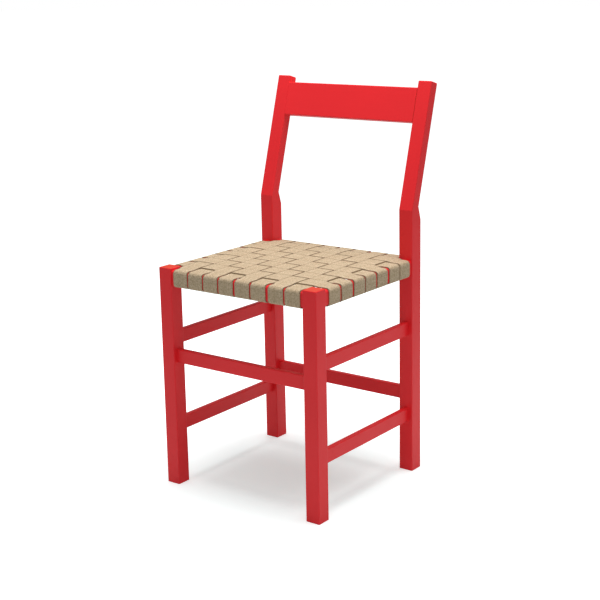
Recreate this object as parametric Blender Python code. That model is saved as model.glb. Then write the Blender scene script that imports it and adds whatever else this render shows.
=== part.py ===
# Side chair in solid painted wood, with a seat woven from flat webbing.
# X runs across the chair, +Y to the back, +Z up. The origin is on the floor, at the
# middle of the chair's width and depth. Lengths are in metres.
import math

import bmesh
import bpy
from mathutils import Matrix, Vector

# Overall sizes. Depths are first counted from the front faces of the front legs.
WIDTH = 0.394  # over the legs
LEG = 0.032  # square section of the front legs, and width of the rear legs
LEG_TOP = 0.4625  # top of the front legs
REAR_FACE = 0.335  # front faces of the rear legs
REAR_DEPTH = 0.034  # depth of a rear leg below the bend
BEND_TOP = 0.562  # the bend, on a rear leg's front face
LEAN = math.radians(16.3)  # backward lean of the posts above the bend
POST_DEPTH = 0.0235
POST_TOP = 0.819  # top front edge of the posts
FACET_TOP = 0.567  # the slanting facet behind the bend
FACET_FOOT = 0.540
ROUNDING = 0.0018  # eased edges of legs, stretchers and board
BEVEL_STEPS = 3

# Back board, between the posts and flush with their front faces
BOARD_FOOT = 0.7355  # heights of its front edges
BOARD_TOP = 0.8050
BOARD_DEPTH = 0.018

# Stretchers, all from the same stock, centred in the legs
BAR_HEIGHT = 0.0288
BAR_DEPTH = 0.012
BAR_FOOT = {"front": 0.2626, "rear": 0.1526, "upper": 0.2974, "lower": 0.1098}

# Seat rails, set back by the webbing that wraps them
RAIL_HEIGHT = 0.032
RAIL_DEPTH = 0.020
RAIL_TOP = 0.4579
RAIL_ROUNDING = 0.0055
RAIL_INSET = 0.0026

# Mortise and tenon joints
TENON_DEPTH = 0.008  # thickness of a tenon
TENON_SHOULDER = 0.004  # how much lower a tenon is than its bar, above and below
BAR_TENON = 0.018  # lengths
RAIL_TENON = 0.012
BOARD_TENON = 0.016
FIT = 0.0003  # clearance between two pieces that touch

# Webbing
TAPE_WIDTH = 0.036
TAPE = 0.0016  # thickness
TAIL = 0.018  # how far an end runs up the inner face of its rail
WEAVE_MIDDLE = 0.4605  # height between the upper and the lower layer
CORNER_STEPS = 3
FLAT_MARGIN = 0.0002
# Each strip was laid by hand, so it lies a little off the even pitch.
LENGTHWISE_PITCH = 0.0403
CROSSWISE_PITCH = 0.0411
LENGTHWISE_DRIFT = (0.0006, -0.0005, -0.0013, -0.0020, -0.0010, -0.0020, 0.0006, 0.0004)
CROSSWISE_DRIFT = (-0.0005, -0.0005, 0.0009, -0.0009, -0.0008, 0.0022, -0.0006)
SEAT_MIDDLE = 0.1863  # middle of the crosswise strips

HALF = WIDTH / 2
REAR_BACK = REAR_FACE + REAR_DEPTH
POST_SLOPE = Vector((0, math.sin(LEAN), math.cos(LEAN)))
POST_BACKWARD = Vector((0, math.cos(LEAN), -math.sin(LEAN)))
BEND = Vector((0, REAR_FACE, BEND_TOP))
POST_LENGTH = (POST_TOP - BEND_TOP) / POST_SLOPE.z
DEPTH = (BEND + POST_SLOPE * POST_LENGTH + POST_BACKWARD * POST_DEPTH).y
TO_ORIGIN = Matrix.Translation((0, -DEPTH / 2, 0))

RED = (0.58, 0.022, 0.026)
LINEN = (0.60, 0.46, 0.30)


def clear_scene():
    for obj in list(bpy.data.objects):
        bpy.data.objects.remove(obj)


def material(name, colour, roughness):
    mat = bpy.data.materials.new(name)
    mat.use_nodes = True
    shader = mat.node_tree.nodes["Principled BSDF"]
    shader.inputs["Base Color"].default_value = (*colour, 1)
    shader.inputs["Roughness"].default_value = roughness
    shader.inputs["Metallic"].default_value = 0
    return mat


def add_object(name, bm, mat=None, matrix=TO_ORIGIN):
    bmesh.ops.recalc_face_normals(bm, faces=bm.faces)
    mesh = bpy.data.meshes.new(name)
    bm.to_mesh(mesh)
    bm.free()
    obj = bpy.data.objects.new(name, mesh)
    bpy.context.scene.collection.objects.link(obj)
    obj.matrix_world = matrix
    if mat:
        mesh.materials.append(mat)
    return obj


def box(low, high):
    """A closed box between two corners."""
    bm = bmesh.new()
    size = Vector(high) - Vector(low)
    middle = (Vector(high) + Vector(low)) / 2
    bmesh.ops.create_cube(bm, size=1, matrix=Matrix.Translation(middle) @ Matrix.Diagonal((*size, 1)))
    return bm


def ease(bm, radius, wanted):
    """Rounds the edges for which wanted(middle, direction) holds."""
    edges = []
    for edge in bm.edges:
        a, b = (v.co for v in edge.verts)
        if wanted((a + b) / 2, (b - a).normalized()):
            edges.append(edge)
    bmesh.ops.bevel(
        bm, geom=edges, offset=radius, segments=BEVEL_STEPS, profile=0.5,
        affect="EDGES", clamp_overlap=True, material=-1,
    )


def helper(name, bm, matrix=TO_ORIGIN):
    """An operand of a Boolean, which isn't a piece of the chair."""
    obj = add_object(name, bm, matrix=matrix)
    obj.hide_render = True
    obj.display_type = "WIRE"
    return obj


def combine(obj, other, operation):
    mod = obj.modifiers.new(operation.title(), "BOOLEAN")
    mod.operation = operation
    mod.solver = "EXACT"
    mod.object = other


def with_tenons(name, low, high, axis, tenon, radius, mat, matrix=TO_ORIGIN):
    """A bar along an axis (0 for X, 1 for Y), with a tenon on each end.

    Returns the tenons' box, which the legs are mortised for.
    """
    bar = box(low, high)
    ease(bar, radius, lambda middle, along: abs(along[axis]) > 0.9)
    obj = add_object(name, bar, mat, matrix)
    other = 1 - axis
    low, high = list(low), list(high)
    low[axis] -= tenon
    high[axis] += tenon
    middle = (low[other] + high[other]) / 2
    low[other], high[other] = middle - TENON_DEPTH / 2, middle + TENON_DEPTH / 2
    low[2] += TENON_SHOULDER
    high[2] -= TENON_SHOULDER
    combine(obj, helper(name + "_tenons", box(low, high), matrix), "UNION")
    return low, high, matrix


def mortise(leg, tenons):
    low, high, matrix = tenons
    grown = box([v - FIT for v in low], [v + FIT for v in high])
    combine(leg, helper(leg.name + "_mortise", grown, matrix), "DIFFERENCE")


def front_leg(name, left, mat):
    low_x = -HALF if left else HALF - LEG
    leg = box((low_x, 0, 0), (low_x + LEG, LEG, LEG_TOP))
    ease(leg, ROUNDING, lambda middle, along: middle.z > FIT)
    return add_object(name, leg, mat)


def rear_leg(name, left, mat):
    """Upright to above the seat, then leaning back: one board, sawn to this outline."""
    top_front = BEND + POST_SLOPE * POST_LENGTH
    top_back = top_front + POST_BACKWARD * POST_DEPTH
    back_foot = BEND + POST_BACKWARD * POST_DEPTH
    facet_y = back_foot.y + (FACET_TOP - back_foot.z) * math.tan(LEAN)
    outline = [
        (REAR_FACE, 0), (REAR_BACK, 0), (REAR_BACK, FACET_FOOT), (facet_y, FACET_TOP),
        (top_back.y, top_back.z), (top_front.y, top_front.z), (REAR_FACE, BEND_TOP),
    ]
    low_x = -HALF if left else HALF - LEG
    leg = bmesh.new()
    face = leg.faces.new([leg.verts.new((low_x, y, z)) for y, z in outline])
    grown = bmesh.ops.extrude_face_region(leg, geom=[face])["geom"]
    moved = [v for v in grown if isinstance(v, bmesh.types.BMVert)]
    bmesh.ops.translate(leg, vec=(LEG, 0, 0), verts=moved)
    post_end = top_back.z - FIT

    def wanted(middle, along):
        crosswise = abs(along.x) > 0.9
        return middle.z > post_end if crosswise else middle.z > FIT

    ease(leg, ROUNDING, wanted)
    return add_object(name, leg, mat)


def side_bars(side, mat):
    """A side's seat rail and two stretchers. Returns their tenons' boxes."""
    left = side == "left"
    inner, outer = HALF - RAIL_INSET - RAIL_DEPTH, HALF - RAIL_INSET
    low_x, high_x = (-outer, -inner) if left else (inner, outer)
    rail = with_tenons(
        f"seat_rail_{side}", (low_x, LEG, RAIL_TOP - RAIL_HEIGHT), (high_x, REAR_FACE, RAIL_TOP),
        1, RAIL_TENON, RAIL_ROUNDING, mat,
    )
    middle = -HALF + LEG / 2 if left else HALF - LEG / 2
    bars = [rail]
    for level in ("upper", "lower"):
        foot = BAR_FOOT[level]
        bars.append(with_tenons(
            f"stretcher_{side}_{level}", (middle - BAR_DEPTH / 2, LEG, foot),
            (middle + BAR_DEPTH / 2, REAR_FACE, foot + BAR_HEIGHT), 1, BAR_TENON, ROUNDING, mat,
        ))
    return bars


def cross_bars(end, mat):
    """The front or rear seat rail and stretcher. Returns their tenons' boxes."""
    reach = HALF - LEG
    if end == "front":
        rail_y, bar_middle = RAIL_INSET, LEG / 2
    else:
        rail_y, bar_middle = REAR_BACK - RAIL_INSET - RAIL_DEPTH, REAR_FACE + REAR_DEPTH / 2
    rail = with_tenons(
        f"seat_rail_{end}", (-reach, rail_y, RAIL_TOP - RAIL_HEIGHT),
        (reach, rail_y + RAIL_DEPTH, RAIL_TOP), 0, RAIL_TENON, RAIL_ROUNDING, mat,
    )
    foot = BAR_FOOT[end]
    bar = with_tenons(
        f"stretcher_{end}", (-reach, bar_middle - BAR_DEPTH / 2, foot),
        (reach, bar_middle + BAR_DEPTH / 2, foot + BAR_HEIGHT), 0, BAR_TENON, ROUNDING, mat,
    )
    return [rail, bar]


def back_board(mat):
    """Built in the posts' leaning frame, with its origin at the bend."""
    leaning = TO_ORIGIN @ Matrix.Translation(BEND) @ Matrix.Rotation(-LEAN, 4, "X")
    reach = HALF - LEG
    foot, top = ((z - BEND_TOP) / POST_SLOPE.z for z in (BOARD_FOOT, BOARD_TOP))
    return with_tenons(
        "back_board", (-reach, 0, foot), (reach, BOARD_DEPTH, top),
        0, BOARD_TENON, ROUNDING, mat, leaning,
    )


def corner(centre, start, radius):
    """Points clockwise round a corner, a quarter turn from a start angle, with outward normals."""
    points = []
    for step in range(CORNER_STEPS + 1):
        angle = start - math.pi / 2 * step / CORNER_STEPS
        normal = Vector((math.cos(angle), math.sin(angle)))
        points.append((Vector(centre) + normal * radius, normal))
    return points


def wrap(near, far):
    """A strip's way round a rail, from its tail on the inner face to the rail's top.

    near and far are the rail's outer and inner faces, along the strip.
    """
    away = FIT + TAPE / 2
    low, high = RAIL_TOP - RAIL_HEIGHT, RAIL_TOP
    inset = RAIL_ROUNDING
    radius = inset + away
    inward = Vector((1, 0))
    points = [(Vector((far + away, low + TAIL)), inward)]
    rounds = (
        ((far - inset, low + inset), 0),
        ((near + inset, low + inset), -math.pi / 2),
        ((near + inset, high - inset), -math.pi),
    )
    for centre, start in rounds:
        points += corner(centre, start, radius)
    points.append((Vector((far - inset, high + away)), Vector((0, 1))))
    return points


def strip(name, offset, ends, crossings, starts_over, lengthwise, mat):
    """One strip of webbing, woven over and under the crossing strips and wrapped round two rails.

    ends are the outer faces of the two rails, and crossings the middles of the crossing strips,
    all along the strip. offset is the strip's own middle, across it.
    """
    first, last = ends
    path = wrap(first, first + RAIL_DEPTH)
    level = (TAPE + FIT) / 2
    half = TAPE_WIDTH / 2 + FLAT_MARGIN
    up = Vector((0, 1))
    for index, middle in enumerate(crossings):
        over = (index % 2 == 0) == starts_over
        height = WEAVE_MIDDLE + (level if over else -level)
        path.append((Vector((middle - half, height)), up))
        path.append((Vector((middle + half, height)), up))
    mirrored = [(Vector((-p.x, p.y)), Vector((-n.x, n.y))) for p, n in wrap(-last, -last + RAIL_DEPTH)]
    path += mirrored[::-1]

    def place(point, across):
        return (across, point.x, point.y) if lengthwise else (point.x, across, point.y)

    bm = bmesh.new()
    start = offset - TAPE_WIDTH / 2
    outer = [bm.verts.new(place(p + n * TAPE / 2, start)) for p, n in path]
    inner = [bm.verts.new(place(p - n * TAPE / 2, start)) for p, n in path]
    for i in range(len(path) - 1):
        bm.faces.new((outer[i], outer[i + 1], inner[i + 1], inner[i]))
    grown = bmesh.ops.extrude_face_region(bm, geom=bm.faces[:])["geom"]
    moved = [v for v in grown if isinstance(v, bmesh.types.BMVert)]
    shift = Vector((TAPE_WIDTH, 0, 0)) if lengthwise else Vector((0, TAPE_WIDTH, 0))
    bmesh.ops.translate(bm, vec=shift, verts=moved)
    return add_object(name, bm, mat)


def laid(middle, pitch, drifts):
    """The middles of a set of parallel strips."""
    count = len(drifts)
    return [middle + (i - (count - 1) / 2) * pitch + drift for i, drift in enumerate(drifts)]


def webbing(mat):
    """Plain weave: every crossing changes over."""
    lengthwise = laid(0, LENGTHWISE_PITCH, LENGTHWISE_DRIFT)
    crosswise = laid(SEAT_MIDDLE, CROSSWISE_PITCH, CROSSWISE_DRIFT)
    front_to_back = (RAIL_INSET, REAR_BACK - RAIL_INSET)
    side_to_side = (-HALF + RAIL_INSET, HALF - RAIL_INSET)
    for i, x in enumerate(lengthwise):
        strip(f"webbing_lengthwise_{i + 1}", x, front_to_back, crosswise, i % 2 == 0, True, mat)
    for i, y in enumerate(crosswise):
        strip(f"webbing_crosswise_{i + 1}", y, side_to_side, lengthwise, i % 2 == 1, False, mat)


def build():
    clear_scene()
    red = material("red_lacquer", RED, 0.45)
    linen = material("linen_webbing", LINEN, 0.9)
    fronts, rears = cross_bars("front", red), cross_bars("rear", red)
    board = back_board(red)
    for side in ("left", "right"):
        bars = side_bars(side, red)
        front = front_leg(f"front_leg_{side}", side == "left", red)
        rear = rear_leg(f"rear_leg_{side}", side == "left", red)
        for tenons in bars + fronts:
            mortise(front, tenons)
        for tenons in [*bars, *rears, board]:
            mortise(rear, tenons)
    webbing(linen)


build()
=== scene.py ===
import math

import bmesh
import bpy
from mathutils import Matrix, Vector, noise


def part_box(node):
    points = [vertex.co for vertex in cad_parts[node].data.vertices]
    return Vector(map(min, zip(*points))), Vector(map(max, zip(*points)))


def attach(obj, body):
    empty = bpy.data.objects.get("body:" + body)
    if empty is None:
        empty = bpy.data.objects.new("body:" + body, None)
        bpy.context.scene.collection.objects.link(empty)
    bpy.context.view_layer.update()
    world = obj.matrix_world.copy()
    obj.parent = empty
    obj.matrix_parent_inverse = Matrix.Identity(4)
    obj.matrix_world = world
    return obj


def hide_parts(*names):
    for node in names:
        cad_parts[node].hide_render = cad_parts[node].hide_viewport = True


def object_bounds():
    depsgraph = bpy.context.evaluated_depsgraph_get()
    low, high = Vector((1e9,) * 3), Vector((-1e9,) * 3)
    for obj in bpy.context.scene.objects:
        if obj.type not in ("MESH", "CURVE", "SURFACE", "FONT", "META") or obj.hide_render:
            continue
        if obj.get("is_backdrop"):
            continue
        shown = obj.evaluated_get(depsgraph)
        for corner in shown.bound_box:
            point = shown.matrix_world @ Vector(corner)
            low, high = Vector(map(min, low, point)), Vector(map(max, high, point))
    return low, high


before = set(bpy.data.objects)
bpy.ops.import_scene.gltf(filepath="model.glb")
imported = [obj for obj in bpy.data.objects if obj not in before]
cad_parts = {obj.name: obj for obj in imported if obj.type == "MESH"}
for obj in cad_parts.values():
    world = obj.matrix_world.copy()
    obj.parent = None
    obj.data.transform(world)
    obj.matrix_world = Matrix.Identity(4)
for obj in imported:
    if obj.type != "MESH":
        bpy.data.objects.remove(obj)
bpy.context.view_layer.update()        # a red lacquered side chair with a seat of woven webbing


# a shader value that can be used in sums
class Shade:
    def __init__(self, tree, socket=None):
        self.tree = tree
        self.socket = socket

    def add(self, kind, settings=None, values=None, out=0):
        node = self.tree.nodes.new("ShaderNode" + kind)
        for name, value in (settings or {}).items():
            if name == "stops":
                self.setStops(node.color_ramp, value)
            else:
                setattr(node, name, value)
        for name, value in (values or {}).items():
            if isinstance(value, Shade):
                self.tree.links.new(value.socket, node.inputs[name])
            else:
                node.inputs[name].default_value = value
        return Shade(self.tree, node.outputs[out])

    def setStops(self, ramp, stops):
        for element, (position, value) in zip(ramp.elements, stops):
            element.position = position
            element.color = (value, value, value, 1)

    # another output of the same node
    def other(self, name):
        return Shade(self.tree, self.socket.node.outputs[name])

    def math(self, operation, first, second=0):
        return self.add("Math", {"operation": operation}, {0: first, 1: second})

    def __add__(self, other):
        return self.math("ADD", self, other)

    def __radd__(self, other):
        return self.math("ADD", other, self)

    def __sub__(self, other):
        return self.math("SUBTRACT", self, other)

    def __rsub__(self, other):
        return self.math("SUBTRACT", other, self)

    def __mul__(self, other):
        return self.math("MULTIPLY", self, other)

    def __rmul__(self, other):
        return self.math("MULTIPLY", other, self)

    def __truediv__(self, other):
        return self.math("DIVIDE", self, other)

    # the mask goes from the first colour, at 0, to the second
    def blend(self, mask, first, second, how="MIX"):
        settings = {"data_type": "RGBA", "blend_type": how}
        return self.add("Mix", settings, {0: mask, 6: first, 7: second}, out=2)


def newMaterial(name):
    mat = bpy.data.materials.new(name)
    mat.use_nodes = True
    mat.node_tree.nodes.clear()
    return mat, Shade(mat.node_tree)


def finishMaterial(s, values):
    surface = s.add("BsdfPrincipled", {}, values)
    output = s.tree.nodes.new("ShaderNodeOutputMaterial")
    s.tree.links.new(surface.socket, output.inputs["Surface"])


def solid(colour):
    return (*colour, 1)


def grey(value):
    return (value, value, value, 1)


# red lacquer on wood
lacquer = dict(
    red=(0.90, 0.022, 0.029),
    deepRed=(0.80, 0.018, 0.024),
    # colour of the sawn ends, a painted sheen
    paintedEndSheen=(0.58, 0.042, 0.016),
    roughness=0.38,
    endRoughness=0.25,          # what sawn ends add to it
    gloss=0.30,                 # specular level of the paint
    poreScale=520,
    poreStretch=26,             # how many times longer than wide a pore is
    poreTint=0.25,
    figureScale=65,
    cloudScale=9,               # broad changes in the red
    peelScale=420,              # orange peel of the sprayed coat
    relief=0.00010,
    reliefStrength=0.55,
)


# The grain runs along a piece, and just shows through the paint.
def makeLacquer(name, along):
    mat, s = newMaterial(name)
    place = s.add("TexCoord", out="Object")
    stretch = [1 / lacquer["poreStretch"] if axis == along else 1 for axis in range(3)]
    grainPlace = s.add("Mapping", {}, {"Vector": place, "Scale": stretch})
    pores = s.add("TexNoise", {}, {
        "Vector": grainPlace, "Scale": lacquer["poreScale"], "Detail": 3, "Roughness": 0.6,
    })
    poreMask = s.add("ValToRGB", {"stops": [(0.32, 1), (0.44, 0)]}, {"Fac": pores})
    figure = s.add("TexNoise", {}, {
        "Vector": grainPlace, "Scale": lacquer["figureScale"], "Detail": 2, "Distortion": 0.4,
    })
    cloud = s.add("TexNoise", {}, {"Vector": place, "Scale": lacquer["cloudScale"], "Detail": 3})
    peel = s.add("TexNoise", {}, {"Vector": place, "Scale": lacquer["peelScale"], "Detail": 1})
    tone = s.blend(cloud, solid(lacquer["red"]), solid(lacquer["deepRed"]))
    tone = s.blend(poreMask * lacquer["poreTint"], tone, solid(lacquer["deepRed"]))

    # sawn ends are rougher, and are painted a duller, more orange red: a painted sheen for how the
    # leg tops look under the light above
    facing = s.add("SeparateXYZ", {}, {0: s.add("TexCoord", out="Normal")}).other(along)
    sawn = s.add("ValToRGB", {"stops": [(0.90, 0), (0.97, 1)]}, {"Fac": s.math("ABSOLUTE", facing)})
    tone = s.blend(sawn, tone, solid(lacquer["paintedEndSheen"]))

    roughness = lacquer["roughness"] + 0.10 * cloud - 0.05 * figure + 0.08 * poreMask
    bump = s.add("Bump", {}, {
        "Height": peel * 0.25 + figure * 0.35 - poreMask * 0.6,
        "Strength": lacquer["reliefStrength"], "Distance": lacquer["relief"],
    })
    finishMaterial(s, {
        "Base Color": tone,
        "Roughness": roughness + lacquer["endRoughness"] * sawn,
        "Specular IOR Level": lacquer["gloss"],
        "Normal": bump,
    })
    return mat


def lacquerFrame():
    alongX = makeLacquer("lacquerAlongX", 0)
    alongY = makeLacquer("lacquerAlongY", 1)
    alongZ = makeLacquer("lacquerAlongZ", 2)
    for name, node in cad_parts.items():
        if name.startswith("webbing"):
            continue
        low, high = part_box(name)
        size = [high[axis] - low[axis] for axis in range(3)]
        longest = size.index(max(size))
        for slot in node.material_slots:
            slot.material = (alongX, alongY, alongZ)[longest]
    print("wood lacquered")


# woven linen tape
tape = dict(
    width=0.0364,
    thickness=0.0018,
    selvedge=0.0006,            # rounding of its edges
    rounding=0.0055,            # of the rails that it wraps
    tail=0.018,                 # from the rail's underside up its inner face
    railGap=0.00035,            # between the tape and the wood
    middle=0.4605,              # height between upper and lower strips
    crossGap=0.0004,            # between them at the middle of a crossing
    bendStart=0.0012,           # a bend starts this far inside a crossing
    bendSteps=8,
    spread=0.0036,              # most that an edge spreads where the strips press on each other
    spreadRamp=0.004,           # length over which it does, up to the rail's inner face
    slit=0.0001,                # left open beside each edge
    crown=0.00022,              # how far its edges drop where it lies on top
    wander=0.0002,              # how far a hand-laid strip strays from straight
    wanderScale=9,
    swell=0.00008,              # unevenness of its surface
    swellScale=30,
    step=0.0015,                # grid length along a strip
    across=16,                  # grid cells over its width
    linen=(0.62, 0.46, 0.28),
    paleLinen=(0.88, 0.71, 0.49),
    # dark brown of the flecks, also the colour of the painted shade
    fleckAndShade=(0.12, 0.072, 0.032),
    shade=(0.27, 0.185, 0.10),
    yarn=0.0021,                # pitch of the weft
    warpPitch=0.8,              # the warp's pitch as a share of the weft's
    swayScale=160,
    swayAlong=0.9,              # how far yarns stray, in pitches
    swayAcross=0.7,
    fibreScale=2600,
    cloudScale=28,
    fleckScale=420,
    slubScale=260,              # thick and thin places in the yarn
    fleckTint=0.45,
    # painted shade in the hollows between the yarns
    hollowShadeTint=0.70,
    # painted shade in the sunken slubs
    slubShadeTint=0.42,
    # painted shade along the selvedges
    edgeShadeTint=0.90,
    fibreTint=0.25,
    relief=0.0010,              # how far thick yarns stand out
    reliefStrength=0.9,
    roughness=0.86,
)


# Yarns cross over and under, drawn from the distances along and across the tape.
def makeWeave():
    mat, s = newMaterial("wovenLinen")
    uv = s.add("UVMap", {"uv_map": "tape"})
    place = s.add("TexCoord", out="Object")
    distance = s.add("SeparateXYZ", {}, {0: uv})
    along = distance / tape["yarn"]
    across = distance.other("Y") / (tape["yarn"] * tape["warpPitch"])

    # yarns are spun unevenly, so they swell and stray a little
    sway = s.add("TexNoise", {}, {"Vector": uv, "Scale": tape["swayScale"], "Detail": 2})
    along = along + (sway - 0.5) * tape["swayAlong"]
    across = across + (sway - 0.5) * tape["swayAcross"]
    weftNumber = s.math("FLOOR", along)
    warpNumber = s.math("FLOOR", across)
    warpRound = s.math("ABSOLUTE", s.math("SINE", across * math.pi))
    weftRound = s.math("ABSOLUTE", s.math("SINE", along * math.pi))
    warpOver = 0.5 + 0.5 * s.math("SINE", (along + warpNumber) * math.pi)
    weftOver = 0.5 - 0.5 * s.math("SINE", (across + weftNumber) * math.pi)
    height = s.math("MAXIMUM", warpRound * warpOver, weftRound * weftOver)

    # every yarn has its own tone, with dark flecks, and painted shade in the hollows between the
    # yarns
    warpTone = s.add("TexWhiteNoise", {"noise_dimensions": "1D"}, {"W": warpNumber})
    weftTone = s.add("TexWhiteNoise", {"noise_dimensions": "1D"}, {"W": weftNumber + 0.37})
    yarnTone = (warpTone + weftTone) * 0.5
    cloud = s.add("TexNoise", {}, {
        "Vector": place, "Scale": tape["cloudScale"], "Detail": 4, "Roughness": 0.6,
    })
    tone = s.blend(yarnTone * 0.6 + cloud * 0.4, solid(tape["linen"]), solid(tape["paleLinen"]))
    flecks = s.add("TexNoise", {}, {"Vector": place, "Scale": tape["fleckScale"], "Detail": 2})
    fleckMask = s.add("ValToRGB", {"stops": [(0.60, 0), (0.72, 1)]}, {"Fac": flecks})
    tone = s.blend(fleckMask * tape["fleckTint"], tone, solid(tape["fleckAndShade"]))
    tone = s.blend((1 - height) * tape["hollowShadeTint"], tone, solid(tape["fleckAndShade"]))

    # painted shade in the sunken places that the slubs make in the bump
    slubs = s.add("TexNoise", {}, {
        "Vector": uv, "Scale": tape["slubScale"], "Detail": 2, "Roughness": 0.7,
    })
    slubShadeMask = s.add("ValToRGB", {"stops": [(0.47, 0), (0.58, 1)]}, {"Fac": slubs})
    tone = s.blend(slubShadeMask * tape["slubShadeTint"], tone, solid(tape["shade"]))

    # painted shade along the selvedges, where one strip meets the next, most of all on the upward
    # faces
    fromMiddle = s.math("ABSOLUTE", distance.other("Y")) / (tape["width"] / 2)
    edgeShade = s.add("ValToRGB", {"stops": [(0.88, 0), (0.94, 1)]}, {"Fac": fromMiddle})
    upward = s.add("SeparateXYZ", {}, {0: s.add("TexCoord", out="Normal")}).other("Z")
    level = s.add("ValToRGB", {"stops": [(0.10, 0.15), (0.50, 1)]}, {"Fac": upward})
    tone = s.blend(edgeShade * level * tape["edgeShadeTint"], tone, solid(tape["fleckAndShade"]))

    fibres = s.add("TexNoise", {}, {"Vector": uv, "Scale": tape["fibreScale"], "Detail": 2})
    fuzz = s.blend(fibres, grey(0.35), grey(0.65))
    tone = s.blend(tape["fibreTint"], tone, fuzz, "SOFT_LIGHT")
    bump = s.add("Bump", {}, {
        "Height": height * 0.5 + fibres * 0.15 - slubs * 2.2,
        "Strength": tape["reliefStrength"], "Distance": tape["relief"],
    })
    finishMaterial(s, {
        "Base Color": tone, "Roughness": tape["roughness"] - 0.08 * height, "Normal": bump,
    })
    return mat


# The middle line of a strip in its own plane: (distance, height), with the normal outwards.
class Route:
    def __init__(self):
        self.points = []
        self.marks = [0]        # length up to each point

    def go(self, point, normal):
        self.points.append((Vector(point), Vector(normal)))

    # clockwise by a quarter turn
    def turn(self, centre, start, radius, steps=8):
        for i in range(steps + 1):
            angle = math.radians(start - 90 * i / steps)
            normal = Vector((math.cos(angle), math.sin(angle)))
            self.go(Vector(centre) + normal * radius, normal)

    # from the last point to another, level at both ends
    def bend(self, end):
        start = self.points[-1][0]
        for step in range(1, tape["bendSteps"] + 1):
            share = step / tape["bendSteps"]
            ease = (1 - math.cos(share * math.pi)) / 2
            self.go((start.x + (end.x - start.x) * share, start.y + (end.y - start.y) * ease), (0, 1))

    def mirror(self):
        return [(Vector((-p.x, p.y)), Vector((-n.x, n.y))) for p, n in reversed(self.points)]

    def measure(self):
        for (a, _), (b, _) in zip(self.points, self.points[1:]):
            self.marks.append(self.marks[-1] + (b - a).length)
        return self.marks[-1]

    def at(self, distance):
        distance = min(max(distance, 0), self.marks[-1])
        i = next(k for k, mark in enumerate(self.marks[1:]) if distance <= mark + 1e-9)
        first, last = self.points[i], self.points[i + 1]
        span = self.marks[i + 1] - self.marks[i]
        share = (distance - self.marks[i]) / span if span else 0
        return first[0].lerp(last[0], share), first[1].lerp(last[1], share).normalized()

    # 0 on the outer part of a rail, 1 from its inner face inwards
    def pressed(self, point, normal):
        if normal.y < 0.99:
            return 0
        inside = min(point.x - self.points[0][0].x, self.points[-1][0].x - point.x)
        return min(max(inside / tape["spreadRamp"] + 1, 0), 1)


# from the end on the rail's inner face, under it, and round to its top
def wrapRail(outer, inner, low, high):
    away = tape["railGap"] + tape["thickness"] / 2
    inset = tape["rounding"]
    route = Route()
    route.go((inner + away, low + tape["tail"]), (1, 0))
    route.turn((inner - inset, low + inset), 0, inset + away)
    route.turn((outer + inset, low + inset), -90, inset + away)
    route.turn((outer + inset, high - inset), -180, inset + away)
    route.go((inner - inset, high + away), (0, 1))
    return route


# over and under the crossing strips, with an easy bend between one and the next
def weaveRoute(ends, rail, crossings, startsOver):
    low, high = rail
    route = wrapRail(*ends[0], low, high)
    lift = (tape["thickness"] + tape["crossGap"]) / 2
    flat = tape["width"] / 2 - tape["bendStart"]
    for i, middle in enumerate(crossings):
        over = (i % 2 == 0) == startsOver
        height = tape["middle"] + (lift if over else -lift)
        route.bend(Vector((middle - flat, height)))
        route.go((middle + flat, height), (0, 1))
    far = wrapRail(-ends[1][0], -ends[1][1], low, high).mirror()
    route.bend(far[0][0])
    route.points += far[1:]
    return route


# how far a strip's two edges may spread towards the strips beside it
def roomBeside(middles, i):
    rooms = []
    for beside in (i - 1, i + 1):
        room = tape["spread"]
        if 0 <= beside < len(middles):
            room = (abs(middles[beside] - middles[i]) - tape["width"]) / 2 - tape["slit"]
        rooms.append(min(max(room, 0), tape["spread"]))
    return rooms


# the seed gives each strip its own stretch of the weave and its own unevenness
def makeStrip(name, node, route, lengthwise, middle, room, weave, seed):
    length = route.measure()
    cells = round(length / tape["step"])
    bm = bmesh.new()
    bmesh.ops.create_grid(bm, x_segments=cells, y_segments=tape["across"], size=1)
    layer = bm.loops.layers.uv.new("tape")
    for face in bm.faces:
        face.smooth = True
        for loop in face.loops:
            x, y = loop.vert.co.x, loop.vert.co.y
            loop[layer].uv = ((x + 1) / 2 * length + seed, y * tape["width"] / 2)
    for vert in bm.verts:
        x, y = vert.co.x, vert.co.y
        point, normal = route.at((x + 1) / 2 * length)
        stray = noise.noise(Vector((point.x * tape["wanderScale"], seed * 7, 0)))
        swell = noise.noise(Vector((point.x * tape["swellScale"], seed * 11, y * 2)))
        reach = tape["width"] / 2 + room[y > 0] * route.pressed(point, normal)
        side = middle + y * reach + stray * tape["wander"]
        onTop = point.y > tape["middle"] and normal.y > 0.9
        depth = swell * tape["swell"] - tape["crown"] * y ** 4 * onTop
        point = point + normal * depth
        vert.co = (side, point.x, point.y) if lengthwise else (point.x, side, point.y)
    if not lengthwise:
        bmesh.ops.reverse_faces(bm, faces=bm.faces[:])
    obj = addPiece(name, bm, weave)
    thick = obj.modifiers.new("Thickness", "SOLIDIFY")
    thick.thickness = tape["thickness"]
    thick.offset = 0
    edge = obj.modifiers.new("Selvedge", "BEVEL")
    edge.width = tape["selvedge"]
    edge.segments = 2
    edge.angle_limit = math.radians(50)
    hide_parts(node)
    return obj, length


def newObject(name, bm, mat):
    mesh = bpy.data.meshes.new(name)
    bm.to_mesh(mesh)
    bm.free()
    mesh.materials.append(mat)
    obj = bpy.data.objects.new(name, mesh)
    bpy.context.scene.collection.objects.link(obj)
    return obj


def addPiece(name, bm, mat):
    obj = newObject(name, bm, mat)
    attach(obj, "root")
    return obj


def middleOf(node, axis):
    low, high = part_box(node)
    return (low[axis] + high[axis]) / 2


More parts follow.
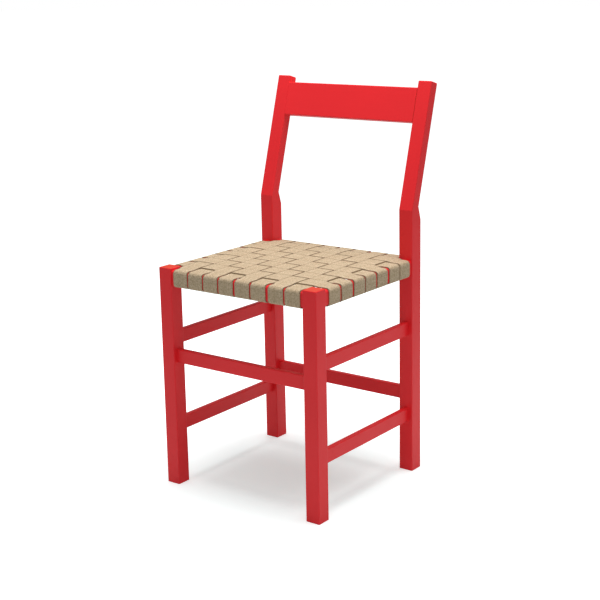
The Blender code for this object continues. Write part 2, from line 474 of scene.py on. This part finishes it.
def weaveSeat():
    weave = makeWeave()
    lengthwise = sorted(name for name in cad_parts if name.startswith("webbing_lengthwise"))
    crosswise = sorted(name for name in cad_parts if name.startswith("webbing_crosswise"))
    columns = [middleOf(name, 0) for name in lengthwise]
    rows = [middleOf(name, 1) for name in crosswise]
    front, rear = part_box("seat_rail_front"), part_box("seat_rail_rear")
    left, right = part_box("seat_rail_left"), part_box("seat_rail_right")
    rail = (front[0][2], front[1][2])
    depthEnds = ((front[0][1], front[1][1]), (rear[1][1], rear[0][1]))
    widthEnds = ((left[0][0], left[1][0]), (right[1][0], right[0][0]))
    for i, name in enumerate(lengthwise):
        route = weaveRoute(depthEnds, rail, rows, i % 2 == 0)
        obj, length = makeStrip(f"tape_lengthwise_{i + 1}", name, route, True, columns[i],
                                roomBeside(columns, i), weave, i * 0.713)
    for i, name in enumerate(crosswise):
        route = weaveRoute(widthEnds, rail, columns, i % 2 == 1)
        obj, length = makeStrip(f"tape_crosswise_{i + 1}", name, route, False, rows[i],
                                roomBeside(rows, i), weave, 7 + i * 0.631)
    print("seat woven:", len(lengthwise), "by", len(crosswise), "strips")


# floor, light and camera
studio = dict(
    floor=(0.79, 0.84, 0.84),
    floorSize=30,
    floorDrop=0.0002,                # the feet stand just clear of it
    glowColour=(0.92, 1, 1),
    glowAndPaintedShadow=(0.31, 0.80),               # lifts the floor to the white of the backdrop, near and far; less near the chair, which paints a shadow under it
    glowReach=0.75,                  # distance from the chair's middle to the far value
    floorLift=0.06,                  # a little light of its own, which reaches the chair too
    ambient=0.35,
    key=(0.12, 0.12, 2.4),           # a round softbox overhead
    keySize=1.6,
    keyPower=53,
    azimuth=37.104,
    elevation=12.721,
    roll=-1.106,
    distance=2.687,
    aim=(-0.0062, 0.0065, 0.0394),   # from the middle of the chair's box
    lens=77.65,
    rise=-0.06,
)


# Only the camera sees the glow, so that it adds no light to the chair. It is weaker near the chair's
# middle, which paints a shadow on the floor there.
def layFloor():
    mat, s = newMaterial("paleFloor")
    seen = s.add("LightPath", out="Is Camera Ray")
    away = s.add("VectorMath", {"operation": "LENGTH"}, {0: s.add("TexCoord", out="Object")}, out=1)
    near, far = studio["glowAndPaintedShadow"]
    glowAndPaintedShadow = s.add("MapRange", {"interpolation_type": "SMOOTHSTEP"}, {
        "Value": away, "From Min": 0, "From Max": studio["glowReach"], "To Min": near, "To Max": far,
    })
    finishMaterial(s, {
        "Base Color": solid(studio["floor"]), "Roughness": 0.9, "Specular IOR Level": 0,
        "Emission Color": solid(studio["glowColour"]),
        "Emission Strength": seen * glowAndPaintedShadow + studio["floorLift"],
    })
    bm = bmesh.new()
    bmesh.ops.create_grid(bm, x_segments=1, y_segments=1, size=studio["floorSize"])
    bmesh.ops.translate(bm, vec=(0, 0, -studio["floorDrop"]), verts=bm.verts[:])
    newObject("floor", bm, mat)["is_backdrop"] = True
    print("floor laid")


def lightStudio():
    world = bpy.data.worlds.new("studio")
    bpy.context.scene.world = world
    world.use_nodes = True
    world.node_tree.nodes.clear()
    s = Shade(world.node_tree)
    seen = s.add("LightPath", out="Is Camera Ray")
    back = s.add("Background", {}, {"Color": s.blend(seen, grey(studio["ambient"]), grey(1))})
    output = s.tree.nodes.new("ShaderNodeOutputWorld")
    s.tree.links.new(back.socket, output.inputs["Surface"])
    softbox = bpy.data.lights.new("overheadSoftbox", "AREA")
    softbox.shape = "DISK"
    softbox.size = studio["keySize"]
    softbox.energy = studio["keyPower"]
    lamp = bpy.data.objects.new("overheadSoftbox", softbox)
    lamp.location = studio["key"]
    bpy.context.scene.collection.objects.link(lamp)
    bpy.context.scene.view_settings.view_transform = "Standard"
    print("studio lit")


def placeCamera():
    low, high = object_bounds()
    aim = (Vector(low) + Vector(high)) / 2 + Vector(studio["aim"])
    azimuth, elevation = math.radians(studio["azimuth"]), math.radians(studio["elevation"])
    level = math.cos(elevation)
    back = Vector((math.sin(azimuth) * level, -math.cos(azimuth) * level, math.sin(elevation)))
    data = bpy.data.cameras.new("camera")
    data.lens = studio["lens"]
    data.shift_y = studio["rise"]
    camera = bpy.data.objects.new("camera", data)
    bpy.context.scene.collection.objects.link(camera)
    turned = back.to_track_quat("Z", "Y").to_matrix().to_4x4()
    roll = Matrix.Rotation(math.radians(studio["roll"]), 4, "Z")
    camera.matrix_world = Matrix.Translation(aim + back * studio["distance"]) @ turned @ roll
    bpy.context.scene.camera = camera
    print("camera placed")


lacquerFrame()
weaveSeat()
layFloor()
lightStudio()
placeCamera()
print("scene ready")
